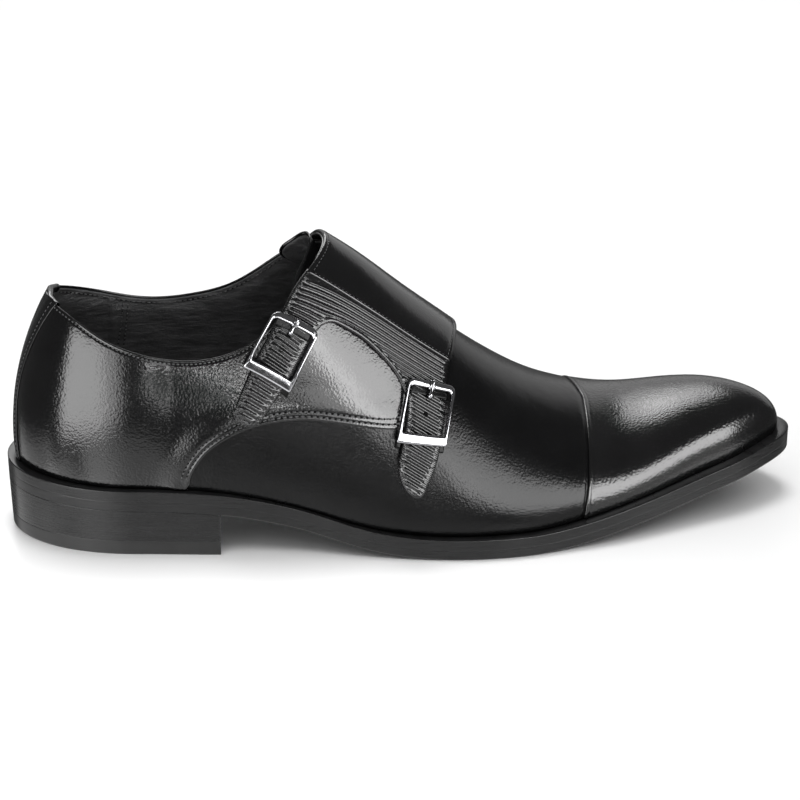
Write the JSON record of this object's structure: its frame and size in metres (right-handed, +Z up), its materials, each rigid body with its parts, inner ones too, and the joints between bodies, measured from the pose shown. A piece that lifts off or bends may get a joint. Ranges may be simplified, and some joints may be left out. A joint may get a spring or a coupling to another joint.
{
  "type": "double monk strap shoe",
  "caption": "Leather dress shoe with a cap toe, fastened over the instep by a ribbed flap whose straps pass through rectangular buckles, on a welted sole with a stacked heel.",
  "frame": {"origin": "bottom centre of the bounding box, on the floor the shoe stands on", "axes": "+X along the shoe from the heel to the toe, +Y to the medial (inner) side, +Z up"},
  "size_m": [0.308, 0.1042, 0.1169],
  "materials": {
    "black_calf": "polished black calf with a fine grain",
    "ribbed_calf": "black calf pleated into fine ribs, soft gloss",
    "lining": "matt black lining leather",
    "sole_edge": "waxed dark grey edge, burnished",
    "rubber": "matt black rubber",
    "buckle_metal": "polished dark chrome"
  },
  "bodies": {
    "root": {"outsole": "sole_edge", "welt": "sole_edge", "insole": "lining", "heel_stack": "sole_edge", "heel_top_piece": "rubber", "upper": "black_calf", "toe_cap": "black_calf", "tongue": "lining", "monk_flap": "ribbed_calf", "buckle_frame_rear": "buckle_metal", "buckle_prong_rear": "buckle_metal", "buckle_frame_front": "buckle_metal", "buckle_prong_front": "buckle_metal"}
  },
  "joints": []
}
